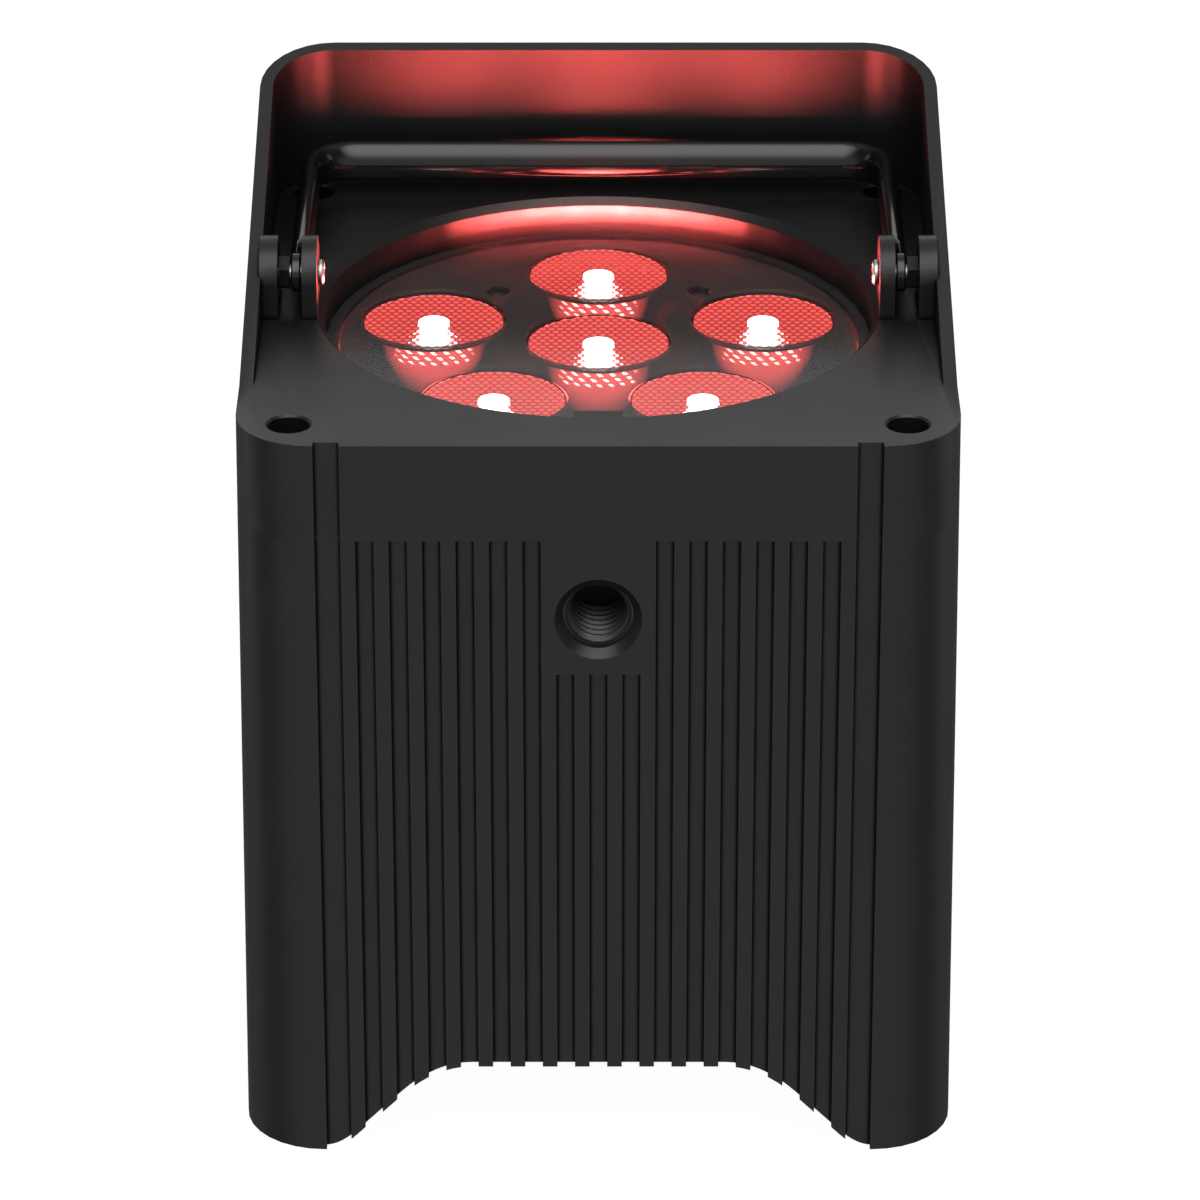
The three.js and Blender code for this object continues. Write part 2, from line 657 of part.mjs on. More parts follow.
function wire(points, radius) {
  const section = new THREE.Shape();
  section.absarc(0, 0, radius, 0, 2 * Math.PI);
  const path = new THREE.CatmullRomCurve3(points.map(([x, y, z]) => new THREE.Vector3(x, y, z)));
  return solid(new THREE.ExtrudeGeometry(section, { steps: 20, curveSegments: 3, extrudePath: path }));
}

function power() {
  const cellRadius = 9.3;
  const packBottom = 42.5;
  const packTop = packBottom + 4 * cellRadius;
  const boardBottom = 86;
  const boardTop = boardBottom + BOARD_THICKNESS;
  place('battery_pack', batteryPack(5, cellRadius, packBottom), paint(0x1c4f9c, 0.35));
  const tray = joined(
    block(-50, 50, -36, 36, packBottom - 2, packBottom - GAP),
    block(-50, 50, -36, -34.5, packBottom - 2, packBottom + 14),
    block(-50, 50, 34.5, 36, packBottom - 2, packBottom + 14),
  );
  place('battery_tray', tray, ALUMINIUM());
  const strap = joined(
    block(-48.6, 48.6, -8, 8, packTop + GAP, packTop + 1.3),
    block(-48.6, -47.2, -8, 8, packBottom, packTop + 1),
    block(47.2, 48.6, -8, 8, packBottom, packTop + 1),
  );
  place('battery_strap', strap, BLACK_STEEL());
  for (const [side, name] of [[-1, 'left'], [1, 'right']]) {
    const plate = block(51, 52.5, -30, 30, packBottom - 2, 97);
    const shelf = block(46, 52, -30, 30, boardBottom - 1.8, boardBottom - GAP);
    const bracket = side > 0 ? plate.add(shelf) : plate.add(shelf).rotate([0, 0, 180]);
    place(`side_bracket_${name}`, bracket, ALUMINIUM());
  }
  place('driver_board', block(-50, 50, -34, 34, boardBottom, boardTop), CIRCUIT());
  const coil = turned([
    [4, boardTop + 0.1],
    [10, boardTop + 0.1],
    [11, boardTop + 4],
    [10, boardTop + 8],
    [4, boardTop + 8],
    [3, boardTop + 4],
    [4, boardTop + 0.1],
  ], 18, -28, 8);
  place('driver_inductor', coil, paint(0xa55a24, 0.45, 0.6));
  for (const i of [1, 2]) {
    const capacitor = rod(4.5, boardTop + 0.1, boardTop + 9, 14, 4 + 13 * (i - 1), 14);
    place(`driver_capacitor_${i}`, capacitor, BLACK_PLASTIC());
  }
  place('led_cable', wire([
    [26, 28, boardTop + GAP],
    [26, 28, boardTop + 4],
    [28, 44, boardTop + 10],
    [24, 50.5, SINK_TOP - 8],
    [20, 50.5, SINK_TOP + 1],
    [15, 45, SINK_TOP + 6],
    [12, 40, SINK_TOP + 6],
    [12, 40, SINK_TOP + 2.2],
  ], 1.3), paint(0xb01818, 0.5));
}

// ---- bottom panel with its controls ----
function bottomPanel() {
  let panel = extruded(cutSquare(CAVITY_HALF - 0.5, SKIRT_CORNER_SUM - 0.7), PANEL_BOTTOM, PANEL_TOP);
  for (const [sx, sy] of FOUR_CORNERS) {
    const [x, y] = [sx * PANEL_SCREW_PLACE, sy * PANEL_SCREW_PLACE];
    panel = panel.subtract(rod(1.8, PANEL_BOTTOM - 1, PANEL_TOP + 1, 8, x, y));
  }
  for (const x of BUTTON_PLACES) {
    panel = panel.subtract(rod(BUTTON_RADIUS + GAP, PANEL_BOTTOM - 1, PANEL_TOP + 1, 16, x, 0));
  }
  const { x, y } = ROCKER_PLACE;
  return cut(
    panel,
    block(-20, 20, DISPLAY_Y - 7, DISPLAY_Y + 7, PANEL_BOTTOM - 1, PANEL_TOP + 1),
    block(x - 10, x + 10, y - 7, y + 7, PANEL_BOTTOM - 1, PANEL_TOP + 1),
    rod(5.9, PANEL_BOTTOM - 1, PANEL_TOP + 1, 20, INLET_PLACE.x, INLET_PLACE.y),
  );
}

function rocker() {
  const halfWidth = 5.6;
  const z = ROCKER_PIVOT_Z;
  const side = polygon([
    [-7.9, z - 6],
    [0, z - 4.4],
    [7.9, z - 6],
    [7.9, z - 2.5],
    [3, z + 3],
    [-3, z + 3],
    [-7.9, z - 2.5],
  ]);
  const pin = new THREE.Shape();
  pin.absarc(0, z, 1, 0, 2 * Math.PI);
  const pins = extrudedAlongY(pin, -halfWidth - 0.6, halfWidth + 0.6, 6);
  const body = extrudedAlongY(side, -halfWidth, halfWidth).add(pins);
  const tilted = body.translate([0, 0, -z]).rotate([0, THREE.MathUtils.radToDeg(ROCKER_TILT), 0]);
  return tilted.translate([ROCKER_PLACE.x, ROCKER_PLACE.y, z]);
}

function rockerFrame() {
  const { x, y } = ROCKER_PLACE;
  const socket = new THREE.Shape();
  socket.absarc(x, ROCKER_PIVOT_Z, 1 + GAP, 0, 2 * Math.PI);
  return cut(
    block(x - 11.5, x + 11.5, y - 8.5, y + 8.5, PANEL_BOTTOM - 1.6, PANEL_BOTTOM - GAP)
      .add(block(x - 9.7, x + 9.7, y - 6.7, y + 6.7, PANEL_BOTTOM - 1, 33)),
    block(x - 9.1, x + 9.1, y - 5.9, y + 5.9, PANEL_BOTTOM - 3, 29),
    extrudedAlongY(socket, y - 6.5, y + 6.5, 6),
  );
}

function controls() {
  place('bottom_panel', bottomPanel(), BLACK_PLASTIC());
  const display = joined(
    block(-23, 23, DISPLAY_Y - 10, DISPLAY_Y + 10, PANEL_TOP + GAP, PANEL_TOP + 3),
    block(-19.7, 19.7, DISPLAY_Y - 6.7, DISPLAY_Y + 6.7, PANEL_BOTTOM + 0.6, PANEL_TOP + 1),
  );
  place('display', display, paint(0x0a1622, 0.12));
  BUTTON_PLACES.forEach((x, i) => {
    const button = turned([
      [0, PANEL_BOTTOM - 1.5],
      [BUTTON_RADIUS - 0.6, PANEL_BOTTOM - 1.5],
      [BUTTON_RADIUS, PANEL_BOTTOM - 0.9],
      [BUTTON_RADIUS, PANEL_TOP + GAP],
      [BUTTON_RADIUS + 1, PANEL_TOP + GAP],
      [BUTTON_RADIUS + 1, PANEL_TOP + 1.2],
      [0, PANEL_TOP + 1.2],
    ], 14, x, 0);
    place(`button_${i + 1}`, button, paint(0x3a3a3c, 0.5));
  });
  let board = block(-40, 40, -8, 34, 30, 30 + BOARD_THICKNESS);
  for (const x of BUTTON_PLACES) {
    board = joined(board, block(x - 3, x + 3, -3, 3, 26.6, 30.5), rod(1.5, 25.5, 27, 8, x, 0));
  }
  place('control_board', board, CIRCUIT());
  place('rocker_frame', rockerFrame(), BLACK_PLASTIC());
  place('power_rocker', rocker(), paint(0x8c1212, 0.35));
  const inlet = turned([
    [0, PANEL_BOTTOM + 1],
    [1, PANEL_BOTTOM + 1],
    [1, PANEL_BOTTOM + 10],
    [2.9, PANEL_BOTTOM + 10],
    [2.9, PANEL_BOTTOM - 1.4],
    [7.2, PANEL_BOTTOM - 1.4],
    [7.2, PANEL_BOTTOM - GAP],
    [5.6, PANEL_BOTTOM - GAP],
    [5.6, PANEL_BOTTOM + 14],
    [0, PANEL_BOTTOM + 14],
  ], 20, INLET_PLACE.x, INLET_PLACE.y);
  place('dc_inlet', inlet, BLACK_PLASTIC());
  const nut = extruded(hexagon(14, 5.9), PANEL_TOP + 0.1, PANEL_TOP + 2.6, 7);
  place('inlet_nut', nut.translate([INLET_PLACE.x, INLET_PLACE.y, 0]), BRIGHT_STEEL());
  FOUR_CORNERS.forEach(([sx, sy], i) => {
    const head = PANEL_BOTTOM - 0.05;
    const screw = turned([
      [0, head - 1.5],
      [2.2, head - 1.5],
      [2.7, head - 0.6],
      [2.7, head],
      [1.2, head],
      [1.2, PANEL_TOP + 10],
      [0, PANEL_TOP + 10],
    ], 12);
    const recess = crossRecess(3.2, 0.9, head - 1.5).rotate([180, 0, 0]);
    const driven = screw.subtract(recess.translate([0, 0, 2 * (head - 1.5)]));
    const held = driven.translate([sx * PANEL_SCREW_PLACE, sy * PANEL_SCREW_PLACE, 0]);
    place(`panel_screw_${i + 1}`, held, BLACK_STEEL());
  });
}

place('head_housing', headHousing(), BLACK_CASTING());
place('body_shell', bodyShell(), BLACK_CASTING());
place('thread_bush', threadBush(), BLACK_STEEL());
optics();
caseFasteners();
place('bail_handle', bailHandle(), BLACK_STEEL());
pivotHardware();
power();
controls();

export default fixture;
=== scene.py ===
"""Par can light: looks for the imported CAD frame. Metres, +Z up, front towards -Y."""

import json
import math

import bmesh
import bpy
from mathutils import Matrix, Vector


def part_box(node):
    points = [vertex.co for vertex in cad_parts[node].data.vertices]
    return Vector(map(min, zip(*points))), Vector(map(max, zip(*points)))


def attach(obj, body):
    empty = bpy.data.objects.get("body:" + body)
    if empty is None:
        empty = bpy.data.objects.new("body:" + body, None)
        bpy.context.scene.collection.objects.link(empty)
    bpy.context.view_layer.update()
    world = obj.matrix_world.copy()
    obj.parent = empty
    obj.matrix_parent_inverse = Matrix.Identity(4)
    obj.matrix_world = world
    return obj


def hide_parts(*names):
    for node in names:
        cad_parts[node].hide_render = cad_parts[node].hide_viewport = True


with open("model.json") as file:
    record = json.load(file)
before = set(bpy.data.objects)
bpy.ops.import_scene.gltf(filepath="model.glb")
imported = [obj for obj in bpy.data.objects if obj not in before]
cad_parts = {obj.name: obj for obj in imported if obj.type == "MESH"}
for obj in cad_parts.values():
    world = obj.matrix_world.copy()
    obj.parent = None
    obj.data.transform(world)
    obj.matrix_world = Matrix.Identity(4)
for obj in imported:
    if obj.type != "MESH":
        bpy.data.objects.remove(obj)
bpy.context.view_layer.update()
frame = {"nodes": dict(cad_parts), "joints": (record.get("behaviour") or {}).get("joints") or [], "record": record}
nodes = frame["nodes"]
MM = 0.001

# ---- places taken from the frame ----
SLOT_OF = {entry["node"]: entry["material_slot"] for entry in frame["record"]["subparts"]}
WINDOW_DROP = 4.7 * MM  # from the top of the case down to the window
glass_low, glass_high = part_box("window_glass")
TOP = glass_high.z + WINDOW_DROP
MASK_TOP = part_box("lens_mask")[1].z
LENS_NAMES = ["centre"] + [f"ring_{i}" for i in range(1, 6)]
LENS_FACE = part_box("lens_centre")[1].z
LENS_DEPTH = LENS_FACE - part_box("lens_centre")[0].z
LENS_RADIUS = (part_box("lens_centre")[1].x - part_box("lens_centre")[0].x) / 2
PIVOT = Vector(frame["joints"][0]["pos_m"])


def middle(node):
    low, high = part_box(node)
    return (low + high) / 2


# ---- camera ----
CAMERA_LENS_MM = 190.4
CAMERA_PLACE = (0.0003, -1.090, TOP + 0.4633)
LOOK_DOWN = math.radians(25.71)


def add_camera():
    data = bpy.data.cameras.new("camera")
    data.lens = CAMERA_LENS_MM
    data.sensor_width = 36
    camera = bpy.data.objects.new("camera", data)
    camera.location = CAMERA_PLACE
    camera.rotation_euler = (math.radians(90) - LOOK_DOWN, 0, 0)
    bpy.context.scene.collection.objects.link(camera)
    bpy.context.scene.camera = camera


add_camera()


# ---- node helpers ----
class Shader:
    """A material's node tree, with short calls for the nodes used here."""

    def __init__(self, name):
        self.material = bpy.data.materials.new(name)
        self.material.use_nodes = True
        self.tree = self.material.node_tree
        self.bsdf = self.tree.nodes["Principled BSDF"]
        self.output = self.tree.nodes["Material Output"]
        self.place = self.node("ShaderNodeTexCoord").outputs["Object"]

    def node(self, kind, **settings):
        made = self.tree.nodes.new(kind)
        for key, value in settings.items():
            setattr(made, key, value)
        return made

    def link(self, source, target):
        self.tree.links.new(source, target)

    def noise(self, size, detail=3.0, roughness=0.55, stretch=None):
        """Noise whose features are about `size` metres across."""
        made = self.node("ShaderNodeTexNoise")
        made.inputs["Scale"].default_value = 1.0 / size
        made.inputs["Detail"].default_value = detail
        made.inputs["Roughness"].default_value = roughness
        place = self.place
        if stretch:
            mapping = self.node("ShaderNodeMapping")
            mapping.inputs["Scale"].default_value = stretch
            self.link(place, mapping.inputs["Vector"])
            place = mapping.outputs["Vector"]
        self.link(place, made.inputs["Vector"])
        return made.outputs["Fac"]

    def ramp(self, factor, stops):
        made = self.node("ShaderNodeValToRGB")
        elements = made.color_ramp.elements
        for i, (position, colour) in enumerate(stops):
            element = elements[i] if i < 2 else elements.new(position)
            element.position = position
            element.color = (*colour, 1)
        self.link(factor, made.inputs["Fac"])
        return made.outputs["Color"]

    def spread(self, factor, low, high, start=0.3, end=0.7):
        made = self.node("ShaderNodeMapRange")
        made.inputs["From Min"].default_value = start
        made.inputs["From Max"].default_value = end
        made.inputs["To Min"].default_value = low
        made.inputs["To Max"].default_value = high
        self.link(factor, made.inputs["Value"])
        return made.outputs["Result"]

    def bump(self, height, depth):
        made = self.node("ShaderNodeBump")
        made.inputs["Distance"].default_value = depth
        made.inputs["Strength"].default_value = 1.0
        self.link(height, made.inputs["Height"])
        return made.outputs["Normal"]

    def set(self, **values):
        for key, value in values.items():
            self.bsdf.inputs[key.replace("_", " ")].default_value = value


def grey(value):
    return (value, value, value)


def powder_coat(name, colour, roughness, grain, depth):
    """Satin powder coat: a fine orange-peel grain, slow changes of tone and gloss, and painted shade that dulls
    inner corners.
    """
    s = Shader(name)
    darker = tuple(0.82 * c for c in colour)
    lighter = tuple(1.18 * c for c in colour)
    tone = s.noise(9 * MM, detail=4)
    s.link(s.ramp(tone, [(0.35, darker), (0.65, lighter)]), s.bsdf.inputs["Base Color"])
    s.link(s.spread(s.noise(14 * MM), roughness - 0.02, roughness + 0.02), s.bsdf.inputs["Roughness"])
    fine = s.bump(s.noise(grain, detail=2), depth)
    s.link(fine, s.bsdf.inputs["Normal"])
    # Painted shade: ambient occlusion turns the specular level down in inner corners and creases.
    corner = s.node("ShaderNodeAmbientOcclusion", only_local=True, samples=12)
    corner.inputs["Distance"].default_value = 1.0 * MM
    painted_corner_shade = s.spread(corner.outputs["AO"], 0.0, 0.5, start=0.62, end=0.92)
    s.link(painted_corner_shade, s.bsdf.inputs["Specular IOR Level"])
    return s.material


def enamel(name, colour, roughness):
    """Gloss enamel over steel, with a faint ripple and handling marks."""
    s = Shader(name)
    marks = s.noise(0.6 * MM, detail=6, stretch=(1, 1, 6))
    s.link(s.spread(marks, roughness, roughness + 0.05), s.bsdf.inputs["Roughness"])
    tone = s.noise(12 * MM)
    lighter = tuple(1.6 * c for c in colour)
    s.link(s.ramp(tone, [(0.3, colour), (0.7, lighter)]), s.bsdf.inputs["Base Color"])
    s.link(s.bump(s.noise(6 * MM), 0.01 * MM), s.bsdf.inputs["Normal"])
    s.set(Coat_Weight=0.2, Coat_Roughness=0.08)
    return s.material


def metal(name, colour, roughness, grain_stretch=(1, 1, 12)):
    """Bare or plated metal with fine tool marks."""
    s = Shader(name)
    marks = s.noise(0.5 * MM, detail=5, stretch=grain_stretch)
    s.link(s.spread(marks, roughness - 0.06, roughness + 0.08), s.bsdf.inputs["Roughness"])
    dull = tuple(0.8 * c for c in colour)
    s.link(s.ramp(s.noise(3 * MM), [(0.3, dull), (0.7, colour)]), s.bsdf.inputs["Base Color"])
    s.link(s.bump(marks, 0.004 * MM), s.bsdf.inputs["Normal"])
    s.set(Metallic=1.0)
    return s.material


def moulded(name, colour, roughness, grain=0.25 * MM, depth=0.01 * MM):
    """Moulded plastic or rubber with a spark-eroded texture."""
    s = Shader(name)
    tone = s.noise(5 * MM, detail=4)
    darker = tuple(0.85 * c for c in colour)
    s.link(s.ramp(tone, [(0.3, darker), (0.7, colour)]), s.bsdf.inputs["Base Color"])
    s.link(s.spread(s.noise(2 * MM), roughness - 0.04, roughness + 0.06), s.bsdf.inputs["Roughness"])
    s.link(s.bump(s.noise(grain, detail=1), depth), s.bsdf.inputs["Normal"])
    return s.material


def circuit_board(name, colour):
    """Solder mask over copper tracks."""
    s = Shader(name)
    cells = s.node("ShaderNodeTexVoronoi", distance="MANHATTAN", feature="F1")
    cells.inputs["Scale"].default_value = 1 / (4 * MM)
    s.link(s.place, cells.inputs["Vector"])
    track = tuple(min(1, 1.7 * c) for c in colour)
    s.link(s.ramp(cells.outputs["Distance"], [(0.42, colour), (0.48, track)]), s.bsdf.inputs["Base Color"])
    s.link(s.bump(cells.outputs["Distance"], 0.03 * MM), s.bsdf.inputs["Normal"])
    s.set(Roughness=0.35)
    return s.material


def clear_sheet(name):
    """Thin clear window: it lets everything through straight, and mirrors the room at shallow angles."""
    s = Shader(name)
    through = s.node("ShaderNodeBsdfTransparent")
    through.inputs["Color"].default_value = (0.95, 0.95, 0.95, 1)
    mirror = s.node("ShaderNodeBsdfGlossy")
    s.link(s.spread(s.noise(8 * MM), 0.14, 0.18), mirror.inputs["Roughness"])
    slant = s.node("ShaderNodeLayerWeight")
    slant.inputs["Blend"].default_value = 0.5
    sharper = s.node("ShaderNodeMath", operation="POWER")
    sharper.inputs[1].default_value = 4.5
    s.link(slant.outputs["Facing"], sharper.inputs[0])
    share = s.node("ShaderNodeMath", operation="MULTIPLY_ADD")
    share.inputs[1].default_value = 0.5
    share.inputs[2].default_value = 0.004
    s.link(sharper.outputs["Value"], share.inputs[0])
    mix = s.node("ShaderNodeMixShader")
    s.link(share.outputs["Value"], mix.inputs["Fac"])
    s.link(through.outputs["BSDF"], mix.inputs[1])
    s.link(mirror.outputs["BSDF"], mix.inputs[2])
    s.link(mix.outputs["Shader"], s.output.inputs["Surface"])
    return s.material


def tinted_mask(name):
    """Smoked acrylic plate: the lit lens cones glow through it."""
    s = Shader(name)
    through = s.node("ShaderNodeBsdfTransparent")
    through.inputs["Color"].default_value = (0.7, 0.7, 0.7, 1)
    s.link(s.ramp(s.noise(8 * MM), [(0.3, grey(0.045)), (0.7, grey(0.05))]), s.bsdf.inputs["Base Color"])
    s.set(Roughness=0.45, Specular_IOR_Level=0.5)
    mix = s.node("ShaderNodeMixShader")
    mix.inputs["Fac"].default_value = 0.6
    s.link(through.outputs["BSDF"], mix.inputs[1])
    s.link(s.bsdf.outputs["BSDF"], mix.inputs[2])
    s.link(mix.outputs["Shader"], s.output.inputs["Surface"])
    return s.material


def lens_acrylic(name):
    """Clear acrylic, with painted shade darkening the valleys between the small domes of the face."""
    s = Shader(name)
    split = s.node("ShaderNodeSeparateXYZ")
    s.link(s.place, split.inputs["Vector"])
    height = s.spread(split.outputs["Z"], 0, 1, start=-DOME_HEIGHT, end=0)
    # Painted shade: the colour runs from dark in the valleys to pale on the dome tops.
    dark = (0.03, 0.0, 0.0)
    s.link(s.ramp(height, [(0.3, dark), (0.9, (1, 0.94, 0.92))]), s.bsdf.inputs["Base Color"])
    s.set(Roughness=0.03, Transmission_Weight=1.0, IOR=1.49, Specular_IOR_Level=0.35)
    return s.material


def glow(name, colour, top_strength, foot_strength, edge=0.1, painted_sparkle=0.0):
    """Lit inside of a lens, brightest just under the face and fading towards its foot.

    Object z runs down from 0 at the face. `edge` is what is left of the glow where the surface turns away from the
    viewer, a painted shade at its rims, and `painted_sparkle` adds painted glints: rows of bright spots under the
    rim, on the side facing the viewer."""
    s = Shader(name)

    def maths(operation, first, second=None):
        made = s.node("ShaderNodeMath", operation=operation)
        for socket, value in zip(made.inputs, (first, second)):
            if isinstance(value, (int, float)):
                socket.default_value = value
            elif value is not None:
                s.link(value, socket)
        return made.outputs["Value"]

    split = s.node("ShaderNodeSeparateXYZ")
    s.link(s.place, split.inputs["Vector"])
    strength = s.spread(split.outputs["Z"], foot_strength, top_strength, start=-LENS_DEPTH, end=0)
    slant = s.node("ShaderNodeLayerWeight")
    slant.inputs["Blend"].default_value = 0.5
    # Painted shade: the glow dims where its surface turns away from the viewer, down to `edge`.
    soft = s.spread(slant.outputs["Facing"], 1.0, edge, start=0.34, end=0.6)
    total = maths("MULTIPLY", strength, soft)
    # Painted glints: rows of bright spots under the rim, only where the surface faces the viewer.
    if painted_sparkle:
        around = maths("ARCTAN2", split.outputs["Y"], split.outputs["X"])
        down = maths("MULTIPLY", split.outputs["Z"], 2 * math.pi / GLINT_ROW)
        slanted = maths("ADD", maths("MULTIPLY", around, GLINTS_AROUND), maths("MULTIPLY", down, 0.5))
        columns = maths("SINE", slanted)
        lit_column = s.spread(columns, 0, 1, start=0.35, end=0.6)
        lit_row = s.spread(maths("SINE", down), 0, 1, start=-0.3, end=0.1)
        band = s.spread(split.outputs["Z"], 0, 1, start=-4.2 * MM, end=-3.3 * MM)
        towards = s.spread(slant.outputs["Facing"], 1, 0, start=0.38, end=0.46)
        glint_rows = maths("MULTIPLY", maths("MULTIPLY", lit_column, lit_row), maths("MULTIPLY", band, towards))
        total = maths("ADD", total, maths("MULTIPLY", glint_rows, painted_sparkle))
    s.set(Base_Color=(0, 0, 0, 1), Roughness=0.6, Emission_Color=(*colour, 1), Specular_IOR_Level=0.0)
    s.link(total, s.bsdf.inputs["Emission Strength"])
    return s.material


DOME_HEIGHT = 0.24 * MM
# Spacing of the painted glint rows in the lens glow.
GLINT_ROW = 1.3 * MM
GLINTS_AROUND = 34
LIT_RED = (1.0, 0.1, 0.09)
BEAM_POWER = {"centre": 0.28, "ring_1": 0.1, "ring_2": 0.24, "ring_3": 0.28, "ring_4": 0.28, "ring_5": 0.24}
WASH_POWER = 0.007
WASH_LENGTH = 8 * MM
WASH_HEIGHT = 1.6 * MM
WASH_SPREAD = math.radians(84)
WASH_STEP = 9  # degrees from one to the next around the window
BEAM_SPREAD = math.radians(140)
BEAM_RADIUS = 12 * MM

CASTING = powder_coat("powder_coat_black", grey(0.005), 0.38, 0.3 * MM, 0.03 * MM)
HANDLE = enamel("handle_enamel", grey(0.003), 0.12)
BRIGHT = metal("zinc_plate", (0.7, 0.7, 0.71), 0.25)
BLACK_STEEL = metal("black_oxide", (0.035, 0.035, 0.036), 0.38)
BUSH = powder_coat("painted_bush", grey(0.02), 0.3, 0.3 * MM, 0.004 * MM)
ALUMINIUM = metal("natural_aluminium", (0.7, 0.71, 0.72), 0.4)
RUBBER = moulded("gasket_rubber", grey(0.008), 0.75)
PLASTIC = moulded("panel_plastic", grey(0.012), 0.5)
WINDOW = clear_sheet("window_clear")
MASK = tinted_mask("mask_smoked")
LENS = lens_acrylic("lens_acrylic")
LENS_RIM = moulded("lens_rim_black", grey(0.006), 0.3)
# Painted glints and painted shade at the rims: the body glow dims fully at its rims, the core partly, the lining
# not at all.
GLOW = glow("lens_glow", LIT_RED, 15.0, 3.0, edge=0.0, painted_sparkle=260)
CAVITY = glow("lens_cavity", LIT_RED, 1.8, 1.5, edge=1.0)
CORE = glow("lens_core", (1.0, 0.8, 0.78), 9, 5, edge=0.6)
LENS_LOOKS = [LENS, LENS_RIM, GLOW, CORE, CAVITY]

SLOT_LOOKS = {
    "case_black": CASTING,
    "handle_black": HANDLE,
    "steel_bright": BRIGHT,
    "steel_black": BLACK_STEEL,
    "window_clear": WINDOW,
    "gasket_rubber": RUBBER,
    "mask_black": MASK,
    "lens_red": LENS,
    "led_lit": moulded("led_package", (0.8, 0.72, 0.6), 0.4),
    "board_black": circuit_board("board_black", grey(0.01)),
    "board_green": circuit_board("board_green", (0.015, 0.09, 0.04)),
    "aluminium_plain": ALUMINIUM,
    "battery_wrap": moulded("battery_wrap", (0.02, 0.09, 0.32), 0.3),
    "copper_coil": metal("copper_wire", (0.75, 0.36, 0.16), 0.3, grain_stretch=(3, 3, 1)),
    "wire_red": moulded("wire_red", (0.16, 0.008, 0.008), 0.4),
    "panel_black": PLASTIC,
    "display_glass": enamel("display_glass", (0.004, 0.009, 0.014), 0.06),
    "button_grey": moulded("button_silicone", grey(0.06), 0.6),
    "rocker_red": moulded("rocker_red", (0.32, 0.015, 0.012), 0.25),
}


def smooth_by_angle():
    """Geometry nodes: shade smooth everywhere except across edges over 35 degrees."""
    tree = bpy.data.node_groups.new("smooth_by_angle", "GeometryNodeTree")
    tree.interface.new_socket("Geometry", in_out="INPUT", socket_type="NodeSocketGeometry")
    tree.interface.new_socket("Geometry", in_out="OUTPUT", socket_type="NodeSocketGeometry")
    into = tree.nodes.new("NodeGroupInput")
    out = tree.nodes.new("NodeGroupOutput")
    faces = tree.nodes.new("GeometryNodeSetShadeSmooth")
    edges = tree.nodes.new("GeometryNodeSetShadeSmooth")
    edges.domain = "EDGE"
    angle = tree.nodes.new("GeometryNodeInputMeshEdgeAngle")
    under = tree.nodes.new("FunctionNodeCompare")
    under.operation = "LESS_THAN"
    under.inputs["B"].default_value = math.radians(35)
    tree.links.new(into.outputs[0], faces.inputs["Geometry"])
    tree.links.new(faces.outputs["Geometry"], edges.inputs["Geometry"])
    tree.links.new(angle.outputs["Unsigned Angle"], under.inputs["A"])
    tree.links.new(under.outputs["Result"], edges.inputs["Shade Smooth"])
    tree.links.new(edges.outputs["Geometry"], out.inputs[0])
    return tree


SMOOTH = smooth_by_angle()


def soften(thing, bevel=0.0, segments=2):
    """Welds a faceted mesh, rounds its sharp edges and smooths the rest, all as modifiers."""
    weld = thing.modifiers.new("weld", "WELD")
    weld.merge_threshold = 0.002 * MM
    if bevel:
        edge = thing.modifiers.new("bevel", "BEVEL")
        edge.width = bevel
        edge.segments = segments
        edge.limit_method = "ANGLE"
        edge.angle_limit = math.radians(40)
    smooth = thing.modifiers.new("smooth", "NODES")
    smooth.node_group = SMOOTH
    flat = thing.modifiers.new("keep_flats", "WEIGHTED_NORMAL")
    flat.keep_sharp = True


def dress_cad_nodes():
    bevels = {"head_housing": 0.6 * MM, "body_shell": 0.1 * MM}
    for name, thing in nodes.items():
        thing.data.materials.clear()
        thing.data.materials.append(SLOT_LOOKS[SLOT_OF[name]])
        soften(thing, bevels.get(name, 0.12 * MM))


dress_cad_nodes()


# ---- mesh helpers ----
def add_object(name, mesh, materials, location=(0, 0, 0)):
    thing = bpy.data.objects.new(name, mesh)
    thing.location = location
    if not mesh.materials:
        for material in materials:
            mesh.materials.append(material)
    bpy.context.scene.collection.objects.link(thing)
    return thing


def lathe_into(bm, profile, segments, slot=0, axis=Matrix.Identity(4)):
    """Adds a surface of revolution about Z.

    The profile is (radius, z) pairs, and a radius of 0 closes it to a point."""
    rings = []
    for radius, z in profile:
        if radius == 0:
            rings.append([bm.verts.new(axis @ Vector((0, 0, z)))])
            continue
        turns = [2 * math.pi * i / segments for i in range(segments)]
        spots = [Vector((radius * math.cos(t), radius * math.sin(t), z)) for t in turns]
        rings.append([bm.verts.new(axis @ spot) for spot in spots])
    for below, above in zip(rings, rings[1:]):
        for i in range(segments):
            j = (i + 1) % segments
            if len(below) == 1 and len(above) == 1:
                continue
            if len(below) == 1:
                corners = [below[0], above[j], above[i]]
            elif len(above) == 1:
                corners = [below[i], below[j], above[0]]
            else:
                corners = [below[i], below[j], above[j], above[i]]
            face = bm.faces.new(corners)
            face.material_index = slot
            face.smooth = True


def finish_mesh(bm, name, outward=True):
    if outward:
        bmesh.ops.recalc_face_normals(bm, faces=bm.faces)
    mesh = bpy.data.meshes.new(name)
    bm.to_mesh(mesh)
    bm.free()
    return mesh


def stand_in(thing, node, body="fixture"):
    """Puts a finished piece in the place of the CAD node it details."""
    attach(thing, body)
    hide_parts(node)


# ---- lenses ----
LENS_PITCH = 1.6 * MM
CORE_RADIUS = 2.9 * MM
RIM_WIDTH = 0.22 * MM


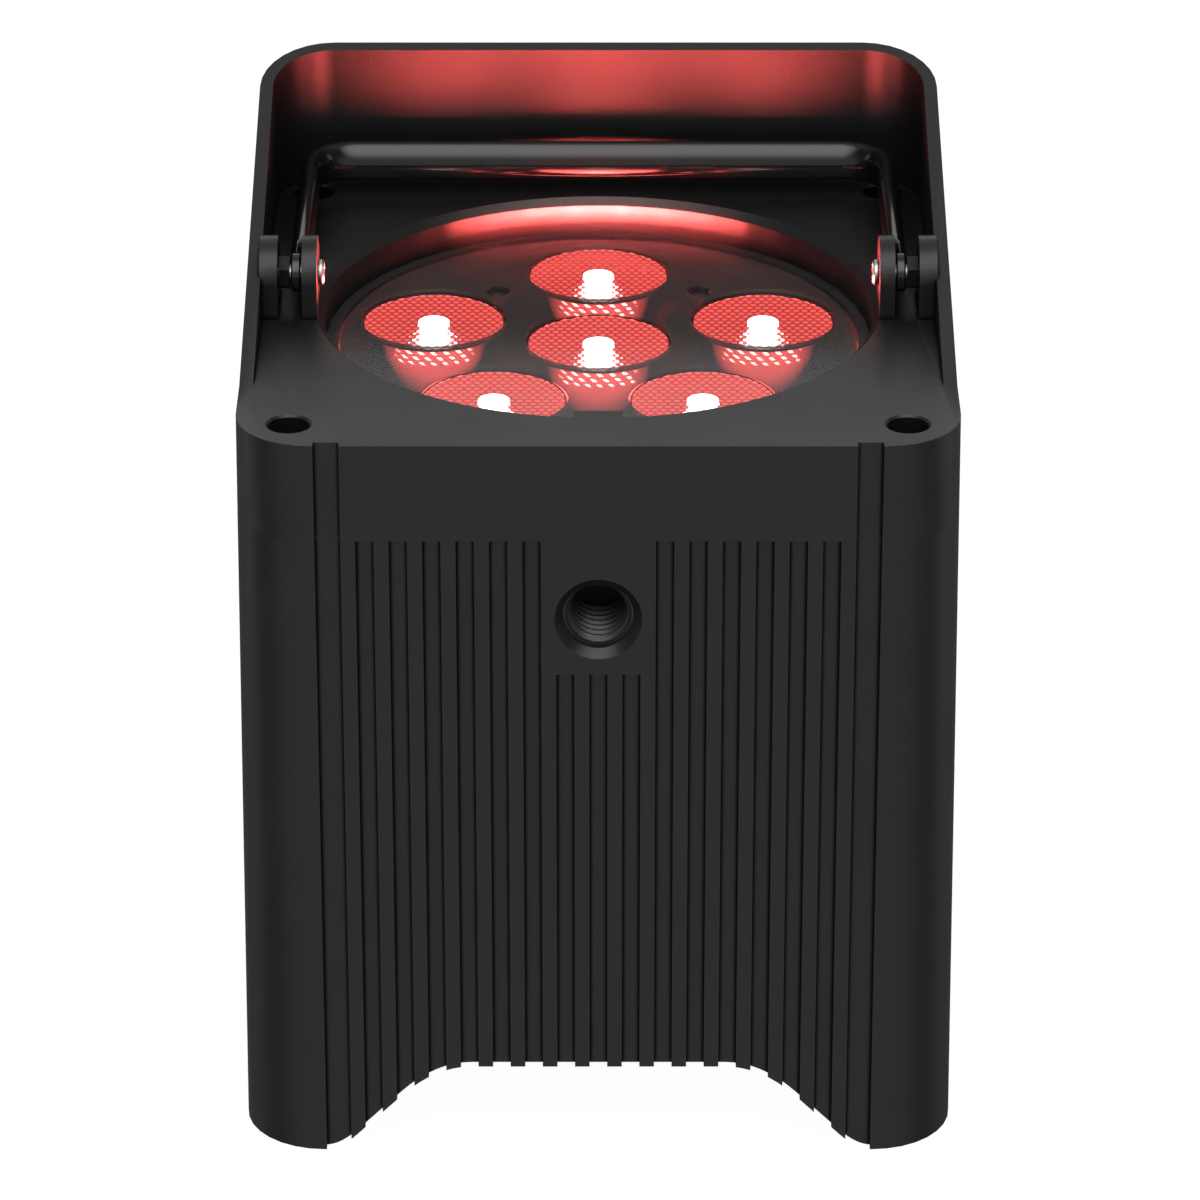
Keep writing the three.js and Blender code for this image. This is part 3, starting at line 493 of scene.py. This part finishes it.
def microlens_face(bm, radius, pitch, height):
    """Adds the lens face: close-packed domes on a triangular lattice, around a plain round centre."""
    step = pitch / 4
    row_step = step * math.sqrt(3) / 2
    rows = int(radius / row_step) + 2
    verts = {}

    def height_at(x, y):
        v = y / (pitch * math.sqrt(3) / 2)
        best = pitch
        for row in (math.floor(v), math.floor(v) + 1):
            shift = 0.5 * pitch * (row % 2)
            near = round((x - shift) / pitch) * pitch + shift
            best = min(best, math.hypot(x - near, y - row * pitch * math.sqrt(3) / 2))
        return -height * (best / (pitch / math.sqrt(3))) ** 2

    for row in range(-rows, rows + 1):
        y = row * row_step
        shift = 0.5 * step * (row % 2)
        columns = int(radius / step) + 2
        for column in range(-columns, columns + 1):
            x = column * step + shift
            if CORE_RADIUS - step < math.hypot(x, y) < radius:
                verts[row, column] = bm.verts.new((x, y, height_at(x, y)))
    for (row, column), corner in list(verts.items()):
        right = verts.get((row, column + 1))
        lean = row % 2
        up_left = verts.get((row + 1, column - 1 + lean))
        up_right = verts.get((row + 1, column + lean))
        if right and up_right:
            bm.faces.new([corner, right, up_right]).smooth = True
        if up_left and up_right:
            bm.faces.new([corner, up_right, up_left]).smooth = True


def lens_mesh():
    """A lens from the face down: domed face, dark rim, glowing body, its lining and the bright core."""
    bm = bmesh.new()
    foot = -LENS_DEPTH
    rim_inner = LENS_RADIUS - RIM_WIDTH
    rim = [
        (rim_inner, -0.5 * MM),
        (rim_inner, 0.05 * MM),
        (LENS_RADIUS - 0.08 * MM, 0.08 * MM),
        (LENS_RADIUS, 0),
        (LENS_RADIUS, -0.4 * MM),
        (rim_inner, -0.5 * MM),
    ]
    body = [
        (13.15 * MM, -0.45 * MM),
        (11.6 * MM, -4 * MM),
        (9.6 * MM, foot),
        (3.9 * MM, foot),
    ]
    lining = [
        (13.05 * MM, -0.4 * MM),
        (11.4 * MM, -4 * MM),
        (9.2 * MM, foot + 1 * MM),
        (CORE_RADIUS, foot + 1 * MM),
    ]
    core = [
        (3.9 * MM, foot),
        (3.5 * MM, -9 * MM),
        (CORE_RADIUS, -5 * MM),
        (CORE_RADIUS, 0.02 * MM),
        (CORE_RADIUS - 0.3 * MM, 0.1 * MM),
        (0, 0.12 * MM),
    ]
    microlens_face(bm, LENS_RADIUS - 0.15 * MM, LENS_PITCH, DOME_HEIGHT)
    lathe_into(bm, rim, 96, slot=LENS_LOOKS.index(LENS_RIM))
    lathe_into(bm, body, 64, slot=LENS_LOOKS.index(GLOW))
    lathe_into(bm, lining, 64, slot=LENS_LOOKS.index(CAVITY))
    lathe_into(bm, core, 48, slot=LENS_LOOKS.index(CORE))
    return finish_mesh(bm, "lens_optic", outward=False)


def add_lenses():
    mesh = lens_mesh()
    for name in LENS_NAMES:
        spot = middle(f"lens_{name}")
        optic = add_object(f"optic_{name}", mesh, LENS_LOOKS, (spot.x, spot.y, LENS_FACE))
        stand_in(optic, f"lens_{name}")


add_lenses()


# ---- bail handle ----
BAIL_THICKNESS = 4.0 * MM
BAIL_DEPTH = 7.3 * MM
BAIL_ROLL = math.radians(18)  # the grip leans back at the bar, and stands square along the legs
EYE_THICKNESS = 1.8 * MM


def bail_path():
    """Middle line of the right half of the strap.

    Each station is (point, outward direction, share of roll, thickness)."""
    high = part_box("bail_handle")[1]
    leg_x = high.x - BAIL_THICKNESS / 2
    bar_y = high.y - BAIL_THICKNESS / 2
    bend = 9 * MM
    eye_x = leg_x + 0.6 * MM
    start = PIVOT.y
    stations = [
        ((eye_x, start, 0), (1, 0), 0, EYE_THICKNESS),
        ((eye_x, start + 5.0 * MM, 0), (1, 0), 0, EYE_THICKNESS),
        ((eye_x - 0.1 * MM, start + 6.4 * MM, 0), (1, 0), 0, 2.3 * MM),
        ((leg_x + 0.1 * MM, start + 7.6 * MM, 0), (1, 0), 0, 3.6 * MM),
        ((leg_x, start + 9 * MM, 0), (1, 0), 0, BAIL_THICKNESS),
        ((leg_x, start + 24 * MM, 0), (1, 0), 0, BAIL_THICKNESS),
    ]
    for i in range(13):
        turn = math.radians(90 * i / 12)
        out = (math.cos(turn), math.sin(turn))
        point = (leg_x - bend + bend * out[0], bar_y - bend + bend * out[1], 0)
        stations.append((point, out, 0.5 - 0.5 * math.cos(2 * turn), BAIL_THICKNESS))
    for share in (0.75, 0.5, 0.25, 0.0):
        stations.append((((leg_x - bend) * share, bar_y, 0), (0, 1), 1, BAIL_THICKNESS))
    return stations


def add_bail():
    half = bail_path()
    mirrored = []
    for (x, y, z), (out_x, out_y), roll, thick in reversed(half[:-1]):
        mirrored.append(((-x, y, z), (-out_x, out_y), roll, thick))
    bm = bmesh.new()
    rings = []
    count = 28
    for point, out, roll, thick in half + mirrored:
        ring = []
        lean = BAIL_ROLL * roll
        for k in range(count):
            t = 2 * math.pi * k / count
            across = 0.5 * thick * math.cos(t)
            up = 0.5 * BAIL_DEPTH * math.sin(t)
            outward = across * math.cos(lean) + up * math.sin(lean)
            rise = up * math.cos(lean) - across * math.sin(lean)
            spot = Vector((point[0] + out[0] * outward, point[1] + out[1] * outward, PIVOT.z + rise))
            ring.append(bm.verts.new(spot))
        rings.append(ring)
    for first, second in zip(rings, rings[1:]):
        for k in range(count):
            j = (k + 1) % count
            bm.faces.new([first[k], first[j], second[j], second[k]]).smooth = True
    bm.faces.new(rings[0])
    bm.faces.new(rings[-1])
    for side in (-1, 1):
        eye_x = side * abs(half[0][0][0])
        turn = Matrix.Translation((eye_x, PIVOT.y, PIVOT.z)) @ Matrix.Rotation(math.radians(90), 4, "Y")
        radius = BAIL_DEPTH / 2
        edge = 0.3 * MM
        thin = EYE_THICKNESS / 2
        hole = 1.8 * MM
        lathe_into(bm, [
            (hole, -thin),
            (radius - edge, -thin),
            (radius, edge - thin),
            (radius, thin - edge),
            (radius - edge, thin),
            (hole, thin),
            (hole, -thin),
        ], 48, axis=turn)
    handle = add_object("bail", finish_mesh(bm, "bail"), [HANDLE])
    soften(handle)
    stand_in(handle, "bail_handle", body="handle")


add_bail()


# ---- threaded bush ----
THREAD_PITCH = 2 * MM
THREAD_DEPTH = 0.95 * MM
THREAD_LEAD_IN = 1.2 * MM
BUSH_WALL = 1.1 * MM


def add_bush():
    """Steel bush with a true helical thread; its axis runs front to back."""
    low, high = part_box("thread_bush")
    centre = (low + high) / 2
    outer = (high.x - low.x) / 2
    major = outer - BUSH_WALL
    length = high.y - low.y
    rings, around = 168, 72
    bm = bmesh.new()
    grid = []
    for i in range(rings + 1):
        depth = length * i / rings
        ring = []
        for k in range(around):
            turn = k / around
            phase = (depth / THREAD_PITCH + turn) % 1.0
            # a flat crest, straight flanks and a narrow root
            ridge = min(1.0, max(0.0, 1.25 - abs(phase - 0.5) / 0.36))
            lead = min(1.0, depth / THREAD_LEAD_IN)
            radius = major - THREAD_DEPTH * ridge * lead
            angle = 2 * math.pi * turn
            spot = (centre.x + radius * math.cos(angle), low.y + depth, centre.z + radius * math.sin(angle))
            ring.append(bm.verts.new(spot))
        grid.append(ring)
    shell = []
    angles = [2 * math.pi * k / around for k in range(around)]
    for y in (high.y, low.y):
        spots = [(centre.x + outer * math.cos(a), y, centre.z + outer * math.sin(a)) for a in angles]
        shell.append([bm.verts.new(spot) for spot in spots])
    loops = grid + shell + [grid[0]]
    for first, second in zip(loops, loops[1:]):
        for k in range(around):
            j = (k + 1) % around
            bm.faces.new([first[k], first[j], second[j], second[k]])
    bush = add_object("threaded_bush", finish_mesh(bm, "threaded_bush"), [BUSH])
    stand_in(bush, "thread_bush")


add_bush()


# ---- mask and window ----
def plate_with_holes(name, radius, thickness, top, holes, bevel, materials):
    """A flat round plate with round holes, drawn as a filled curve and turned into a mesh."""
    curve = bpy.data.curves.new(name, "CURVE")
    curve.dimensions = "2D"
    curve.fill_mode = "BOTH"
    curve.extrude = thickness / 2 - bevel
    curve.bevel_depth = bevel
    curve.bevel_resolution = 2
    curve.offset = -bevel
    for x, y, hole in [(0, 0, radius)] + holes:
        count = 128 if hole > 5 * MM else 32
        spline = curve.splines.new("POLY")
        spline.points.add(count - 1)
        for i, point in enumerate(spline.points):
            turn = 2 * math.pi * i / count
            point.co = (x + hole * math.cos(turn), y + hole * math.sin(turn), 0, 1)
        spline.use_cyclic_u = True
    draft = bpy.data.objects.new(name + "_outline", curve)
    bpy.context.scene.collection.objects.link(draft)
    mesh = bpy.data.meshes.new_from_object(draft.evaluated_get(bpy.context.evaluated_depsgraph_get()))
    bpy.data.objects.remove(draft)
    mesh.materials.clear()
    thing = add_object(name, mesh, materials, (0, 0, top - thickness / 2))
    soften(thing)
    return thing


MASK_THICKNESS = 1.2 * MM
MASK_SCREW_HOLE = 2.3 * MM


def add_mask():
    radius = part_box("lens_mask")[1].x
    holes = []
    for name in LENS_NAMES:
        spot = middle(f"lens_{name}")
        holes.append((spot.x, spot.y, LENS_RADIUS + 0.3 * MM))
    for i in (1, 2):
        spot = middle(f"mask_screw_{i}")
        holes.append((spot.x, spot.y, MASK_SCREW_HOLE))
    plate = plate_with_holes("mask_plate", radius, MASK_THICKNESS, MASK_TOP, holes, 0.15 * MM, [MASK])
    stand_in(plate, "lens_mask")


def add_window():
    bm = bmesh.new()
    radius = glass_high.x
    edge = 0.3 * MM
    half = (glass_high.z - glass_low.z) / 2
    profile = [
        (0, -half),
        (radius - edge, -half),
        (radius, edge - half),
        (radius, half - edge),
        (radius - edge, half),
        (0, half),
    ]
    lathe_into(bm, profile, 160)
    pane = add_object("window_pane", finish_mesh(bm, "window_pane"), [WINDOW], (0, 0, glass_low.z + half))
    soften(pane)
    stand_in(pane, "window_glass")


add_mask()
add_window()


# ---- stage ----
# Soft lights of the sky: direction, cosine where each starts, cosine where it is full, level.
WORLD_LOBES = [
    ((0, -1, -0.2), 0.2, 0.85, 0.44),
    ((0, 1, 0.5), 0.5, 0.95, 0.34),
    ((0, -0.5, 0.85), 0.72, 1.0, 2.4),
    ((0, 0, 1), 0.6, 0.9, 0.15),
    ((1, 0.3, 0), 0.86, 0.98, 0.8),
    ((-1, 0.3, 0), 0.86, 0.98, 0.8),
    ((0, 1, 0), 0.86, 0.98, 0.8),
    ((0, 0, 1), -3.0, -2.0, 0.12),
]


def add_stage():
    """Plain pale floor and backdrop.

    The camera alone sees them, so that they neither light nor shade the object."""
    s = Shader("pale_stage")
    s.set(Base_Color=(0.1, 0.1, 0.1, 1), Roughness=0.9, Specular_IOR_Level=0.0)
    s.set(Emission_Color=(1, 1, 1, 1), Emission_Strength=0.97)
    bm = bmesh.new()
    lathe_into(bm, [(0, 0), (4, 0), (6, 1), (7, 4), (5, 8), (0, 10)], 64)
    room = add_object("stage", finish_mesh(bm, "stage", outward=False), [s.material])
    room.visible_glossy = False
    room.visible_diffuse = False
    room.visible_transmission = False
    room.visible_shadow = False


def add_world():
    """Studio light as a sky made of the soft lobes listed above."""
    world = bpy.data.worlds.new("studio")
    world.use_nodes = True
    bpy.context.scene.world = world
    tree = world.node_tree
    background = tree.nodes["Background"]
    coordinates = tree.nodes.new("ShaderNodeTexCoord")

    def lobe(direction, start, end, level):
        """Light from around a direction: none beyond `start`, all of it within `end`, as cosines."""
        along = tree.nodes.new("ShaderNodeVectorMath")
        along.operation = "DOT_PRODUCT"
        along.inputs[1].default_value = Vector(direction).normalized()
        tree.links.new(coordinates.outputs["Generated"], along.inputs[0])
        rise = tree.nodes.new("ShaderNodeMapRange")
        rise.interpolation_type = "SMOOTHSTEP"
        for key, value in (("From Min", start), ("From Max", end), ("To Min", 0.0), ("To Max", level)):
            rise.inputs[key].default_value = value
        tree.links.new(along.outputs["Value"], rise.inputs["Value"])
        return rise.outputs["Result"]

    total = None
    for share in WORLD_LOBES:
        value = lobe(*share)
        if total is None:
            total = value
            continue
        plus = tree.nodes.new("ShaderNodeMath")
        plus.operation = "ADD"
        tree.links.new(total, plus.inputs[0])
        tree.links.new(value, plus.inputs[1])
        total = plus.outputs["Value"]
    tree.links.new(total, background.inputs["Strength"])
    background.inputs["Color"].default_value = (1, 1, 1, 1)


def area_light(name, location, aim, size, power, colour):
    data = bpy.data.lights.new(name, "AREA")
    data.shape = "DISK"
    data.size = size
    data.energy = power
    data.color = colour
    lamp = bpy.data.objects.new(name, data)
    lamp.location = location
    direction = Vector(aim) - Vector(location)
    lamp.rotation_euler = direction.to_track_quat("-Z", "Y").to_euler()
    bpy.context.scene.collection.objects.link(lamp)
    return lamp


def add_lights():
    """Red light from the lenses: a beam over each, and a row beside the recess's far wall."""
    for name in LENS_NAMES:
        spot = middle(f"lens_{name}")
        place = Vector((spot.x, spot.y, glass_high.z + 0.2 * MM))
        above = place + Vector((0, 0, 1))
        beam = area_light(f"beam_{name}", place, above, 2 * BEAM_RADIUS, BEAM_POWER[name], LIT_RED)
        beam.data.spread = BEAM_SPREAD
        beam.visible_camera = False
        beam.visible_transmission = False
    for i in range(-4, 5):
        turn = math.radians(90 + WASH_STEP * i)
        out = Vector((math.cos(turn), math.sin(turn), 0))
        place = (glass_high.x - 5 * MM) * out + Vector((0, 0, glass_high.z + 1.2 * MM))
        power = WASH_POWER * (1 - 0.06 * i * i)
        wash = area_light(f"wash_{i + 5}", place, place + out, WASH_LENGTH, power, LIT_RED)
        wash.data.shape = "RECTANGLE"
        wash.data.size_y = WASH_HEIGHT
        wash.data.spread = WASH_SPREAD
        wash.visible_camera = False
        wash.visible_transmission = False


add_stage()
add_world()
add_lights()
bpy.context.scene.view_settings.view_transform = "Standard"
